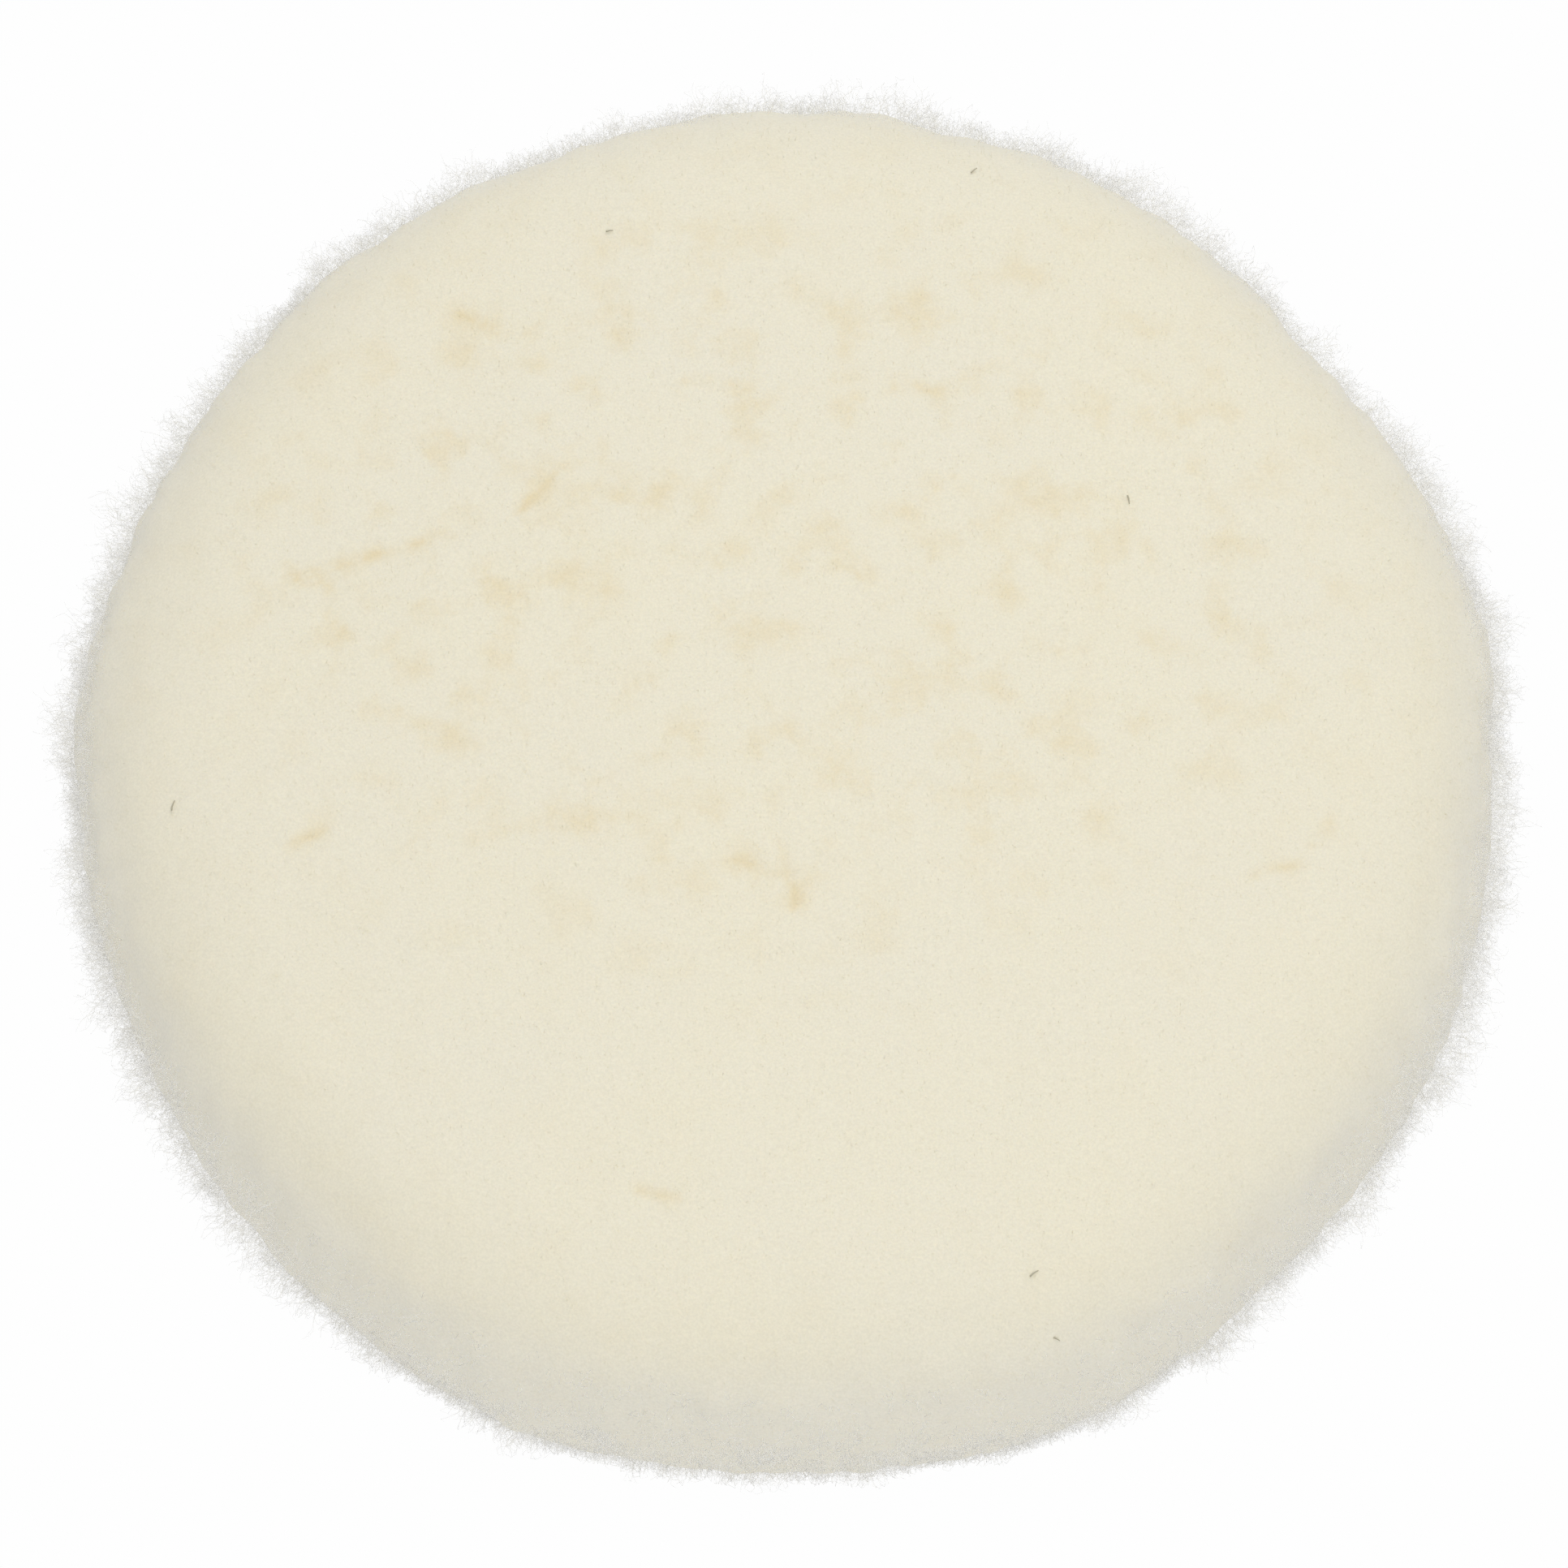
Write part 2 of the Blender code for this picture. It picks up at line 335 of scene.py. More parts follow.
def wool_fibre(name, low, high, stain, solid):
    """Single crimped wool fibres: matt and pale, changing from root to tip, each a slightly different tone.
    A fibre drawn thicker than it is lets that much light past it, so it isn't quite solid."""
    made, tree, shader = new_material(
        name,
        {
            "Roughness": 0.8,
            "IOR": 1.55,
            "Specular IOR Level": 0.2,
            "Sheen Weight": 0.5,
            "Sheen Roughness": 0.5,
            "Alpha": solid,
        },
    )
    along = add_node(tree, "ShaderNodeUVMap", uv_map=STRAND_MAP).outputs["UV"]
    parts = add_node(tree, "ShaderNodeSeparateXYZ", {0: along})
    rise = add_node(
        tree,
        "ShaderNodeMapRange",
        {"Value": parts.outputs["Y"], "From Max": 0.8},
        interpolation_type="SMOOTHSTEP",
    ).outputs["Result"]
    tone = add_node(
        tree,
        "ShaderNodeMapRange",
        {"Value": parts.outputs["X"], "From Min": 0.4, "From Max": 1.0, "To Max": 0.5},
    ).outputs["Result"]
    grown = add_node(tree, "ShaderNodeMix", {0: rise, 6: low, 7: high}, data_type="RGBA").outputs[2]
    mixed = add_node(tree, "ShaderNodeMix", {0: tone, 6: grown, 7: stain}, data_type="RGBA").outputs[2]
    tree.links.new(mixed, shader.inputs["Base Color"])
    return made


def kemp_hair():
    """Coarse hair in the fleece: greyish beige, smooth and a little glossy."""
    made, tree, shader = new_material("Coarse kemp hair", {"Roughness": 0.45, "IOR": 1.55})
    place = add_node(tree, "ShaderNodeTexCoord").outputs["Object"]
    bands = add_node(tree, "ShaderNodeTexNoise", {"Vector": place, "Scale": 1 / (0.5 * MM)}).outputs["Fac"]
    dark, light = hex_colour("#b3ad96"), hex_colour("#c6c0a8")
    mixed = add_node(tree, "ShaderNodeMix", {0: bands, 6: dark, 7: light}, data_type="RGBA").outputs[2]
    tree.links.new(mixed, shader.inputs["Base Color"])
    return made


def tanned_suede(back):
    """Sheepskin, chrome tanned and buffed on its flesh side: matt tan with a cloudy, napped grain."""
    made, tree, _ = new_material(
        "Buffed sheepskin suede",
        {"Roughness": 0.9, "IOR": 1.5, "Specular IOR Level": 0.2, "Sheen Weight": 0.25},
    )
    place = add_node(tree, "ShaderNodeTexCoord").outputs["Object"]
    cloud = add_node(tree, "ShaderNodeTexNoise", {"Vector": place, "Scale": 1 / (14 * MM), "Detail": 5.0})
    pores = add_node(tree, "ShaderNodeTexVoronoi", {"Vector": place, "Scale": 1 / (0.5 * MM)})
    return two_tones(made, cloud.outputs["Fac"], back.suede, 0.78, pores.outputs["Distance"], 0.4, 0.1 * MM)


def open_cell_foam(back):
    """Flexible polyurethane foam, cut from a block: matt, with open cells about 0.6 mm wide, whose hollows
    get painted shade.
    """
    values = {"Roughness": 0.95, "Specular IOR Level": 0.2}
    made, tree, _ = new_material("Open-cell polyurethane foam", values)
    place = add_node(tree, "ShaderNodeTexCoord").outputs["Object"]
    cells = add_node(tree, "ShaderNodeTexVoronoi", {"Vector": place, "Scale": 1 / (0.6 * MM)})
    near = {"Value": cells.outputs["Distance"], "From Max": 0.5}
    cell_hollows_and_shade = add_node(tree, "ShaderNodeMapRange", near).outputs["Result"]
    # The cells' hollows are both set lower and painted darker: painted shade.
    return two_tones(made, cell_hollows_and_shade, back.foam, 0.55, cell_hollows_and_shade, 0.8, 0.2 * MM)


def hot_melt_film(back):
    """Hot-melt glue web, pressed into a film: pale, slightly glossy, with small unmelted patches."""
    made, tree, _ = new_material("Pressed hot-melt film", {"Roughness": 0.4, "IOR": 1.49})
    place = add_node(tree, "ShaderNodeTexCoord").outputs["Object"]
    web = add_node(
        tree, "ShaderNodeTexNoise", {"Vector": place, "Scale": 1 / (3 * MM), "Detail": 3.0, "Distortion": 1.0}
    ).outputs["Fac"]
    return two_tones(made, web, back.film, 0.8, web, 0.3, 0.1 * MM)


def knitted_nylon(back):
    """Warp-knitted nylon: pale grey, with slanting threads two to a rib, and painted shade in the grooves
    between them.
    """
    made, tree, _ = new_material("Warp-knitted nylon", {"Roughness": 0.75, "IOR": 1.53, "Sheen Weight": 0.2})
    place = add_node(tree, "ShaderNodeTexCoord").outputs["Object"]
    threads = add_node(
        tree,
        "ShaderNodeTexWave",
        {"Vector": place, "Scale": math.pi / (10 * back.wale / 2), "Distortion": 2.0, "Detail Scale": 2.0},
        bands_direction="DIAGONAL",
    ).outputs["Fac"]
    # Painted shade: the colour darkens where the threads' relief is low.
    return two_tones(made, threads, back.cloth, 0.7, threads, 0.5, 0.1 * MM)


def looped_nylon(back):
    """Napped nylon loops: pale grey filament with a soft shine, each loop a slightly different tone."""
    made, tree, _ = new_material("Napped nylon loops", {"Roughness": 0.5, "IOR": 1.53, "Sheen Weight": 0.15})
    along = add_node(tree, "ShaderNodeUVMap", uv_map=STRAND_MAP).outputs["UV"]
    return two_tones(made, add_node(tree, "ShaderNodeSeparateXYZ", {0: along}).outputs["X"], back.loops, 0.8)


def cotton_twill(back):
    """Woven cotton tape in twill: matt, with ridges slanting round the rim, and painted shade in the grooves
    between them.
    """
    made, tree, _ = new_material("Herringbone cotton tape", {"Roughness": 0.9, "Specular IOR Level": 0.2})
    along = add_node(tree, "ShaderNodeUVMap", uv_map="weave").outputs["UV"]
    # The map's first axis runs along the tape and its second across it, both in millimetres.
    ridges = add_node(
        tree,
        "ShaderNodeTexWave",
        {"Vector": along, "Scale": 0.36, "Distortion": 0.6},
        bands_direction="DIAGONAL",
    ).outputs["Fac"]
    # Painted shade: the colour darkens in the grooves between the ridges.
    return two_tones(made, ridges, back.tape, 0.72, ridges, 0.6, 0.12 * MM)


def bonded_thread(back):
    """Bonded nylon sewing thread: two plies twisted together, with a slight shine, and painted shade in the
    groove between them.
    """
    made, tree, _ = new_material("Bonded nylon thread", {"Roughness": 0.45, "IOR": 1.53})
    place = add_node(tree, "ShaderNodeTexCoord").outputs["Object"]
    plies = add_node(
        tree, "ShaderNodeTexWave", {"Vector": place, "Scale": 1 / (3 * MM)}, bands_direction="DIAGONAL"
    ).outputs["Fac"]
    # Painted shade: the colour darkens in the groove between the plies.
    return two_tones(made, plies, back.sewing, 0.75, plies, 0.5, 0.05 * MM)


def unit(vectors):
    """Vectors at length one."""
    return vectors / np.maximum(np.linalg.norm(vectors, axis=-1, keepdims=True), 1e-12)


def ease(values, low, high):
    """A smooth step from 0 at low to 1 at high."""
    t = np.clip((values - low) / (high - low), 0.0, 1.0)
    return t * t * (3 - 2 * t)


def as_piece(mesh, finish):
    """An object at the origin for a mesh, shaded smooth and in its material."""
    mesh.materials.append(finish)
    mesh.shade_smooth()
    made = bpy.data.objects.new(mesh.name, mesh)
    bpy.context.collection.objects.link(made)
    return made


def mesh_piece(name, points, faces, finish):
    """A piece from points and faces."""
    mesh = bpy.data.meshes.new(name)
    mesh.from_pydata(points, [], faces)
    return as_piece(mesh, finish)


def mesh_values(mesh, key="co"):
    """A mesh's points, or another vector that each of its vertices has."""
    flat = np.empty(3 * len(mesh.vertices), np.float32)
    mesh.vertices.foreach_get(key, flat)
    return flat.reshape(-1, 3).astype(float)


def put_points(mesh, points):
    mesh.vertices.foreach_set("co", points.astype(np.float32).ravel())
    mesh.update()


def only(piece):
    """Makes a piece the selected, active object."""
    bpy.ops.object.select_all(action="DESELECT")
    piece.select_set(True)
    bpy.context.view_layer.objects.active = piece


def apply_modifiers(piece):
    only(piece)
    for name in [m.name for m in piece.modifiers]:
        bpy.ops.object.modifier_apply(modifier=name)


def strand_piece(name, paths, width, taper, tones, finish):
    """One mesh of closed three-sided strands. paths holds one row of points a strand."""
    count, points, _ = paths.shape
    way = unit(paths[:, -1] - paths[:, 0])
    side = unit(np.cross(way, np.where(np.abs(way[:, 2:]) > 0.9, [[1.0, 0, 0]], [[0, 0, 1.0]])))
    up = np.cross(way, side)
    t = np.linspace(0, 1, points)
    radius = np.asarray(width).reshape(-1, 1) / 2 * (1 - taper * t**1.5)
    corner = math.tau / 3 * np.arange(3)
    out = (
        np.cos(corner)[None, None, :, None] * side[:, None, None, :]
        + np.sin(corner)[None, None, :, None] * up[:, None, None, :]
    )
    verts = (paths[:, :, None, :] + radius[:, :, None, None] * out).reshape(-1, 3)
    # The faces of one strand, and for each of their corners how far up and round the strand it is.
    faces, rises, sides = [], [], []
    for k in range(points - 1):
        for c in range(3):
            a, b = 3 * k + c, 3 * k + (c + 1) % 3
            faces += [(a, b, b + 3), (a, b + 3, a + 3)]
            rises += [(t[k], t[k], t[k + 1]), (t[k], t[k + 1], t[k + 1])]
            sides += [(c, c + 1, c + 1), (c, c + 1, c)]
    last = 3 * (points - 1)
    faces += [(2, 1, 0), (last, last + 1, last + 2)]
    rises += [(0, 0, 0), (1, 1, 1)]
    sides += [(2, 1, 0), (0, 1, 2)]
    corners = (np.array(faces)[None] + 3 * points * np.arange(count)[:, None, None]).reshape(-1)
    mesh = bpy.data.meshes.new(name)
    mesh.vertices.add(len(verts))
    mesh.vertices.foreach_set("co", verts.astype(np.float32).ravel())
    mesh.loops.add(len(corners))
    mesh.loops.foreach_set("vertex_index", corners.astype(np.int32))
    mesh.polygons.add(len(corners) // 3)
    mesh.polygons.foreach_set("loop_start", np.arange(0, len(corners), 3, dtype=np.int32))
    mesh.update(calc_edges=True)
    # The map keeps off its own edges, and gives each side of a strand some width, so that it can be baked.
    chart = np.empty((count, len(faces) * 3, 2), np.float32)
    chart[:, :, 0] = 0.02 + 0.94 * np.asarray(tones).reshape(-1, 1) + 0.006 * np.array(sides).reshape(1, -1)
    chart[:, :, 1] = 0.02 + 0.96 * np.array(rises).reshape(1, -1)
    mesh.uv_layers.new(name=STRAND_MAP).uv.foreach_set("vector", chart.ravel())
    return as_piece(mesh, finish)


def crimped(roots, tips, crimp, steps, random):
    """Paths of crimped fibres from roots to tips, which swing round their own line."""
    count = len(roots)
    reach = tips - roots
    way = unit(reach)
    side = unit(np.cross(way, unit(random.normal(size=(count, 3)))))
    up = np.cross(way, side)
    t = np.linspace(0, 1, steps + 1)
    turn = random.uniform(2.0, 2.8, (count, 1))
    phase = random.uniform(0, math.tau, (count, 1)) + turn * np.arange(steps + 1)
    swing = crimp * np.minimum(1, 2.5 * t) * random.uniform(0.6, 1.3, (count, steps + 1))
    paths = roots[:, None, :] + reach[:, None, :] * t[None, :, None]
    paths = paths + (swing * np.cos(phase))[:, :, None] * side[:, None, :]
    paths = paths + (0.7 * swing * np.sin(phase))[:, :, None] * up[:, None, :]
    paths[:, :, 2] = np.maximum(paths[:, :, 2], FLOOR + 0.15 * MM * (1 + t))
    return paths


def scatter(mesh, keep, count, random):
    """Points spread evenly over the faces whose centres keep accepts, with their normals."""
    mesh.calc_loop_triangles()
    corners = np.empty(3 * len(mesh.loop_triangles), np.int32)
    mesh.loop_triangles.foreach_get("vertices", corners)
    corners = corners.reshape(-1, 3)
    points, normals = mesh_values(mesh), mesh_values(mesh, "normal")
    a, b, c = (points[corners[:, i]] for i in range(3))
    area = np.linalg.norm(np.cross(b - a, c - a), axis=1) / 2
    share = area * keep((a + b + c) / 3, unit(normals[corners].mean(axis=1)))
    picked = random.choice(len(share), count, p=share / share.sum())
    u, v = random.random((2, count))
    fold = u + v > 1
    u, v = np.where(fold, 1 - u, u), np.where(fold, 1 - v, v)
    weights = np.stack([1 - u - v, u, v], axis=1)[:, :, None]
    return (
        (points[corners[picked]] * weights).sum(axis=1),
        unit((normals[corners[picked]] * weights).sum(axis=1)),
    )


def unit_disc(count):
    """A disc of square faces: its points, its faces and its border, which starts at -45 degrees."""
    line = np.linspace(-1, 1, count + 1)
    u, v = np.meshgrid(line, line, indexing="ij")
    wide = np.abs(u) > np.abs(v)
    with np.errstate(divide="ignore", invalid="ignore"):
        angle = np.where(wide, math.pi / 4 * v / u, math.pi / 2 - math.pi / 4 * u / v)
    radius = np.where(wide, u, v)
    angle = np.where(radius == 0, 0, angle)
    points = np.stack([radius * np.cos(angle), radius * np.sin(angle)], axis=-1).reshape(-1, 2)
    index = np.arange((count + 1) ** 2).reshape(count + 1, count + 1)
    faces = np.stack([index[:-1, :-1], index[1:, :-1], index[1:, 1:], index[:-1, 1:]], axis=-1).reshape(-1, 4)
    border = np.concatenate([index[-1, :-1], index[:0:-1, -1], index[0, :0:-1], index[:-1, 0]])
    return points, faces, border


def fleece_outline(fleece):
    """The dense wool's cross-section, from the edge of its level face down and round to the recess.

    It returns the outer points and the recess's points, each as (radius, height)."""
    radius = WOOL_HIGH.x - fleece.fringe
    top = WOOL_HIGH.z - fleece.nap - GAP
    widest = WOOL_LOW.z + 10.0 * MM
    foot, sole = RECESS + 1.2 * MM, WOOL_LOW.z + 0.5 * MM
    squareness = 2 / 2.4
    quarter = np.radians(np.linspace(90, 0, 17))
    across, rise = np.cos(quarter) ** squareness, np.sin(quarter) ** squareness
    outer = [(radius - fleece.shoulder * (1 - a), widest + (top - widest) * r) for a, r in zip(across, rise)]
    lower = zip(across[-3::-2], rise[-3::-2])
    outer += [(foot + (radius - foot) * a, widest - (widest - sole) * r) for a, r in lower]
    ceiling = NEEDLE_HIGH.z + GAP
    dome = SKIN_HIGH.z + 0.3 * MM
    inner = [
        (RECESS + 0.6 * MM, sole),
        (RECESS, sole + 0.6 * MM),
        (RECESS, ceiling - 0.5 * MM),
        (RECESS, ceiling),
        (RECESS - 0.5 * MM, ceiling),
        (75.2 * MM, ceiling),
        (74.6 * MM, ceiling + 1.4 * MM),
        (72.6 * MM, dome - 1.2 * MM),
        (69.0 * MM, dome),
    ]
    return outer, inner


def turned_fleece(fleece, finish):
    """The closed starting shape: a level face, the outer curve, and the recess that holds the skin."""
    outer, inner = fleece_outline(fleece)
    disc, squares, border = unit_disc(64)
    rows = outer[1:] + inner[:-1]
    spread = disc * outer[0][0]
    crown = 0.6 * MM * (1 - (disc**2).sum(axis=1))
    top = np.column_stack([spread, outer[0][1] + crown])
    ceiling = np.column_stack([disc * inner[-1][0], np.full(len(disc), inner[-1][1])])
    turn = np.arctan2(disc[border, 1], disc[border, 0])
    rings = [np.column_stack([r * np.cos(turn), r * np.sin(turn), np.full(len(turn), z)]) for r, z in rows]
    points = np.concatenate([top, *rings, ceiling])
    loops = [border] + [len(top) + i * len(border) + np.arange(len(border)) for i in range(len(rows))]
    loops.append(len(points) - len(ceiling) + border)
    faces = [squares, squares[:, ::-1] + len(points) - len(ceiling)]
    for above, below in zip(loops, loops[1:]):
        ahead_above, ahead_below = np.roll(above, -1), np.roll(below, -1)
        faces.append(np.stack([above, below, ahead_below, ahead_above], axis=-1))
    held = np.zeros(len(points))
    held[: len(top)] = 0.85
    held[len(top) + (len(outer) - 2) * len(border) :] = 1.0
    piece = mesh_piece("fleece", points, np.concatenate(faces).tolist(), finish)
    return piece, held


def swell(piece, held, pressure, most):
    """Lets a closed piece swell like a stuffed one, each point no further than most from its start."""
    start = mesh_values(piece.data)
    group = piece.vertex_groups.new(name="held")
    for i, weight in enumerate(held):
        if weight:
            group.add([i], float(weight), "REPLACE")
    cloth = piece.modifiers.new("swelling", "CLOTH")
    cloth.settings.use_pressure = True
    cloth.settings.uniform_pressure_force = pressure
    cloth.settings.vertex_group_mass = group.name
    cloth.settings.effector_weights.gravity = 0.0
    cloth.settings.quality = 4
    cloth.point_cache.frame_start = 1
    cloth.point_cache.frame_end = SWELL_FRAMES
    for step in range(1, SWELL_FRAMES + 1):
        bpy.context.scene.frame_set(step)
    apply_modifiers(piece)
    piece.vertex_groups.clear()
    bpy.context.scene.frame_set(1)
    moved = mesh_values(piece.data) - start
    far = np.linalg.norm(moved, axis=1, keepdims=True)
    moved = moved * np.minimum(1, most / np.maximum(far, 1e-9))
    put_points(piece.data, start + moved)


def outline_swing(angle):
    """The fleece isn't cut quite round: how much wider or narrower it is at an angle, as a share."""
    swing = np.zeros_like(angle)
    for waves, along, aside in OUTLINE_WAVES:
        swing += along * np.cos(waves * angle) + aside * np.sin(waves * angle)
    return swing


def parting_shade(points):
    """From 0 to 1, how deep in a parting each point of the face lies."""
    shade = np.zeros(len(points))
    for x, y, heading, run, width in PARTINGS:
        way = np.array([math.cos(math.radians(heading)), math.sin(math.radians(heading))])
        off = points[:, :2] - np.array([x, y]) * MM
        along = off @ way
        bend = 0.12 * width * MM * np.sin(along / (1.1 * MM))
        across = off @ np.array([-way[1], way[0]]) + bend
        past = np.maximum(np.abs(along) - run * MM / 2, 0)
        shade = np.maximum(shade, np.exp(-((across**2 + past**2) / (width * MM / 2) ** 2) ** 0.8))
    return shade


def flank_locks(fleece):
    """The locks of wool round the flank, in jittered rows: their middles, growing directions and sizes."""
    outline = np.array(fleece_outline(fleece)[0])
    tangent = np.gradient(outline, axis=0)
    normal = unit(np.column_stack([-tangent[:, 1], tangent[:, 0]]))
    run = np.concatenate([[0], np.cumsum(np.hypot(*np.diff(outline, axis=0).T))])
    random = np.random.default_rng(LOCK_SEED)
    first = np.interp(0.3, 1 - normal[:, 1], run)
    rows = round((run[-1] - first) / (0.85 * fleece.lock_width))
    middles, ways = [], []
    for row in range(rows):
        at = first + (run[-1] - first) * (row + 0.5) / rows
        count = round(math.tau * np.interp(at, run, outline[:, 0]) / fleece.lock_width)
        at = at + random.uniform(-0.3, 0.3, count) * fleece.lock_width
        turn = math.tau / count * (np.arange(count) + row % 2 / 2 + random.uniform(-0.3, 0.3, count))
        out = np.column_stack([np.cos(turn), np.sin(turn)])
        reach, rise = (np.interp(at, run, outline[:, k]) for k in range(2))
        lean = [np.interp(at, run, normal[:, k]) for k in range(2)]
        middles.append(np.column_stack([out * reach[:, None], rise]))
        ways.append(np.column_stack([out * lean[0][:, None], lean[1]]))
    middles, ways = np.concatenate(middles), unit(np.concatenate(ways))
    ways = unit(ways + random.normal(size=ways.shape) * 0.25)
    return middles, ways, random.uniform(0.45, 1.35, len(middles))


def nearest(points, middles):
    """The index of the nearest middle to each point, and its distance."""
    tree = KDTree(len(middles))
    for i, middle in enumerate(middles):
        tree.insert(middle, i)
    tree.balance()
    found = [tree.find(p)[1:] for p in points]
    return np.array([f[0] for f in found]), np.array([f[1] for f in found])


def uncut(points):
    """Widens or narrows points round the axis, as the fleece's outline does."""
    stretch = 1 + outline_swing(np.arctan2(points[:, 1], points[:, 0]))
    return points * np.column_stack([stretch, stretch, np.ones(len(points))])


def sculpt_fleece(piece, fleece):
    """Gives the swollen fleece its locks, soft face, partings and uncut outline, and its attributes."""
    mesh = piece.data
    points, normals = mesh_values(mesh), mesh_values(mesh, "normal")
    reach = np.hypot(points[:, 0], points[:, 1])
    outside = (normals[:, 2] > -0.2) | (reach > RECESS + 1.0 * MM)
    flank = ease(1 - normals[:, 2], 0.05, 0.6) * ease(reach, RECESS - 12 * MM, RECESS) * outside
    face = ease(normals[:, 2], 0.3, 0.8) * (points[:, 2] > SKIN_HIGH.z + 6 * MM)
    middles, _, sizes = flank_locks(fleece)
    owner, away = nearest(points, middles)
    bumps = 1.5 * sizes[owner] * np.exp(-((away / (0.42 * fleece.lock_width)) ** 2)) - 0.6
    dips = np.empty(len(points))
    for i, (x, y, z) in enumerate(points):
        bumps[i] += 1.3 * noise.noise(Vector((x, y, 0.3 * z)) / (4 * MM))
        bumps[i] += 2.0 * noise.noise(Vector((x, y, z)) / (13 * MM))
        dips[i] = noise.noise(Vector((x, y, z)) / (11 * MM)) + 0.5 * noise.noise(Vector((x, y, 7)) / (4 * MM))
    parting = parting_shade(points) * face
    lift = fleece.lock_relief * bumps * flank * ease(points[:, 2], WOOL_LOW.z, WOOL_LOW.z + 5 * MM)
    lift += fleece.face_relief * dips * face
    lift -= fleece.parting_depth * parting
    points = points + normals * lift[:, None]
    drawn = (ease(reach, RECESS - 20 * MM, RECESS + 2 * MM) * outside)[:, None]
    put_points(mesh, points + (uncut(points) - points) * drawn)
    for name, values in (("parting", parting), ("rim", flank)):
        layer = mesh.attributes.new(name, "FLOAT", "POINT")
        layer.data.foreach_set("value", values.astype(np.float32))


class PAD_OT_fleece(Operator):
    """Builds the dense wool: a turned shape, swollen as stuffed cloth and sculpted into locks"""

    bl_idname = "pad.fleece"
    bl_label = "Fleece"

    def execute(self, context):
        fleece = context.scene.pad_fleece
        piece, held = turned_fleece(fleece, sheared_wool(fleece))
        swell(piece, held, pressure=4.0, most=1.2 * MM)
        smooth = piece.modifiers.new("smooth", "SUBSURF")
        smooth.levels = smooth.render_levels = 1
        apply_modifiers(piece)
        sculpt_fleece(piece, fleece)
        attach(piece, "root")
        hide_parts("wool_pile")
        return {"FINISHED"}


def plant(name, starts, paths, width, spread, taper, finish, count, random):
    """Splits fibres into sectors round the pad, by where they start. Each sector is one piece, and each
    fibre has its own tone, and its own width within the spread."""
    turn = np.arctan2(starts[:, 1], starts[:, 0])
    sector = ((turn + math.pi) / math.tau * count).astype(int) % count
    pieces = []
    for i in range(count):
        mine = paths[sector == i]
        widths = width * random.uniform(*spread, len(mine))
        piece = strand_piece(f"{name}_{i + 1}", mine, widths, taper, random.random(len(mine)), finish)
        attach(piece, "root")
        pieces.append(piece)
    return pieces


def tangled(roots, ways, reach, width, curl, stride, random):
    """Paths of curly fibres that wander about their roots, each in an egg of its own reach and one width."""
    count = len(roots)
    heading = unit(ways + random.normal(size=roots.shape) * 0.5)
    axis = unit(random.normal(size=roots.shape))
    turn = stride / curl * random.uniform(0.6, 1.4, (count, 1))
    at, paths = roots, [roots]
    for _ in range(RIM_STEPS):
        heading = heading * np.cos(turn) + np.cross(axis, heading) * np.sin(turn)
        off = at - roots
        along = (off * ways).sum(axis=1, keepdims=True)
        across = off - along * ways
        # Nearing the egg's skin, a fibre turns back towards its middle.
        outside = np.hypot(along / reach, 2 * np.linalg.norm(across, axis=1, keepdims=True) / width)
        back = -unit(across * 1.5 + (along - 0.4 * reach) * ways) * np.clip(2.2 * (outside - 0.75), 0, 1.6)
        heading = unit(heading + back + 0.3 * ways + random.normal(size=roots.shape) * 0.16)
        axis = unit(axis + random.normal(size=roots.shape) * 0.35)
        at = at + heading * stride
        paths.append(at)
    paths = np.stack(paths, axis=1)
    paths[:, :, 2] = np.maximum(paths[:, :, 2], FLOOR + 0.2 * MM)
    return paths


